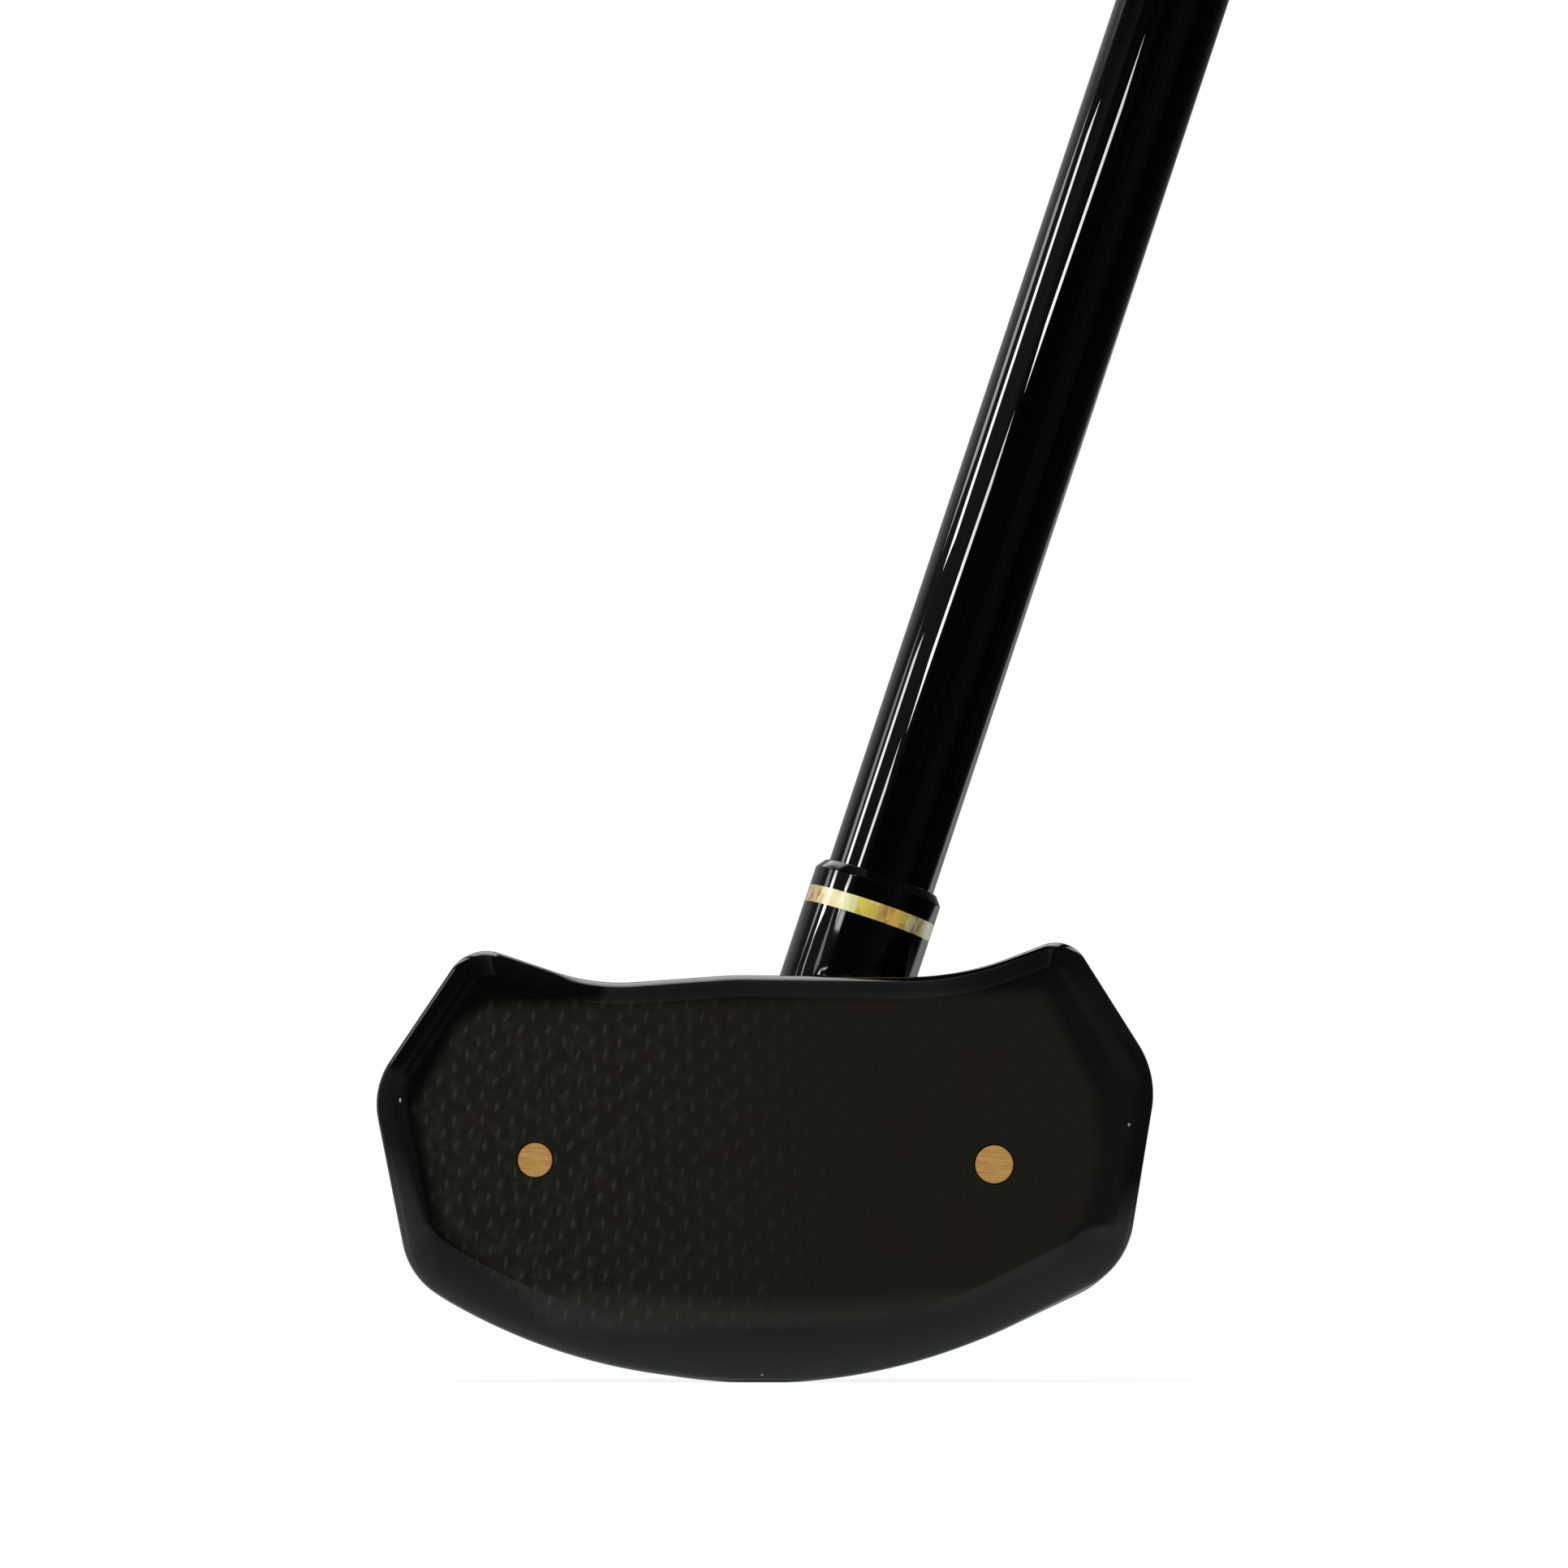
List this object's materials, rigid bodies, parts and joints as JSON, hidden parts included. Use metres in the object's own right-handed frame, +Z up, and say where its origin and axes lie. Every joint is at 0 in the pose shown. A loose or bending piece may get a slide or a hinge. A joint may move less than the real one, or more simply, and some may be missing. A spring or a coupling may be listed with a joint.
{
  "type": "park golf club",
  "caption": "Wooden-headed park golf club with a flat carbon striking face, a let-in sole plate, a tubular shaft and a wrapped grip.",
  "frame": {"origin": "on the flat in the middle of the sole, straight below the plane that holds the shaft's axis", "axes": "+Z up with the club at address, -Y out of the striking face, +X towards the heel, which is the side that the shaft leans to"},
  "size_m": [0.3356, 0.077, 0.8105],
  "materials": {
    "lacquered_wood": "gloss black lacquer over maple",
    "carbon_weave": "plain-weave carbon under clear resin",
    "face_resin": "polished black resin",
    "pin_brass": "sanded flush, fine brush lines",
    "gold_shell": "gold shell effect under clear coat",
    "ferrule_black": "polished black",
    "shaft_gloss": "gloss black clear-coated tube",
    "plug_wood": "bare wood",
    "sole_resin": "satin black resin",
    "screw_steel": "blackened steel",
    "weight_brass": "as turned",
    "underlay_foam": "closed-cell foam",
    "grip_wrap": "matt perforated synthetic band",
    "black_rubber": "matt moulded rubber"
  },
  "bodies": {
    "root": {"head_body": "lacquered_wood", "carbon_face": "carbon_weave", "face_plate": "face_resin", "toe_pin": "pin_brass", "heel_pin": "pin_brass", "neck_ring": "gold_shell", "ferrule": "ferrule_black", "shaft": "shaft_gloss", "tip_plug": "plug_wood", "sole_plate": "sole_resin", "sole_screw_1": "screw_steel", "sole_screw_2": "screw_steel", "sole_screw_3": "screw_steel", "sole_screw_4": "screw_steel", "toe_weight": "weight_brass", "heel_weight": "weight_brass", "grip_underlay": "underlay_foam", "grip_wrap": "grip_wrap", "grip_collar": "black_rubber", "butt_cap": "black_rubber"}
  },
  "joints": []
}
